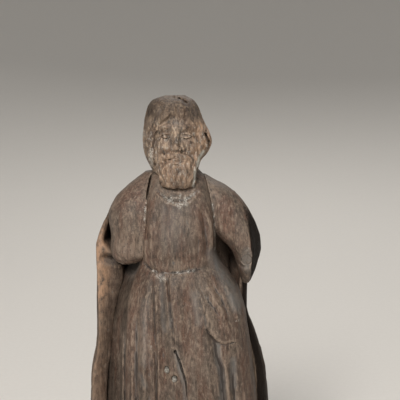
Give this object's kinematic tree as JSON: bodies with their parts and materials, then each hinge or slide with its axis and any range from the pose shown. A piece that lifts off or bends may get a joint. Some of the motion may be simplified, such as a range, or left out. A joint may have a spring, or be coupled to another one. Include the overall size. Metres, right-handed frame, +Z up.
{
  "type": "carved wooden figurine",
  "caption": "Standing carved wooden figurine of a bearded figure in a belted tunic and cloak, forearms missing, on a low chamfered base.",
  "frame": {"origin": "centre of the underside of the base, where the figurine stands", "axes": "+Z up from the base to the crown of the head, the figure faces -Y, its own right arm is at -X"},
  "size_m": [0.108, 0.08, 0.262],
  "materials": {
    "carved_wood": "weathered, grey-brown, waxed",
    "worn_wood": "worn bare, warm tan over dark recesses",
    "cloak_wood": "dark patina with tan worn edges",
    "base_wood": "dark, worn at the corners",
    "dowel_wood": "raw whittled",
    "repair_peg": "pale, filled with old gesso",
    "nail_iron": "hand forged, rusted"
  },
  "bodies": {
    "root": {"base": "base_wood", "body": "carved_wood", "head": "worn_wood", "right_arm": "carved_wood", "left_arm": "carved_wood", "cloak_back": "cloak_wood", "cloak_right": "cloak_wood", "cloak_left": "cloak_wood", "neck_pin": "dowel_wood", "right_shoulder_dowel": "dowel_wood", "left_shoulder_dowel": "dowel_wood", "right_forearm_peg": "dowel_wood", "left_forearm_peg": "dowel_wood", "front_peg_upper": "repair_peg", "front_peg_lower": "repair_peg", "base_dowel_right": "dowel_wood", "base_dowel_left": "dowel_wood", "cloak_nail_1": "nail_iron", "cloak_nail_2": "nail_iron", "cloak_nail_3": "nail_iron", "cloak_nail_4": "nail_iron"}
  },
  "joints": []
}
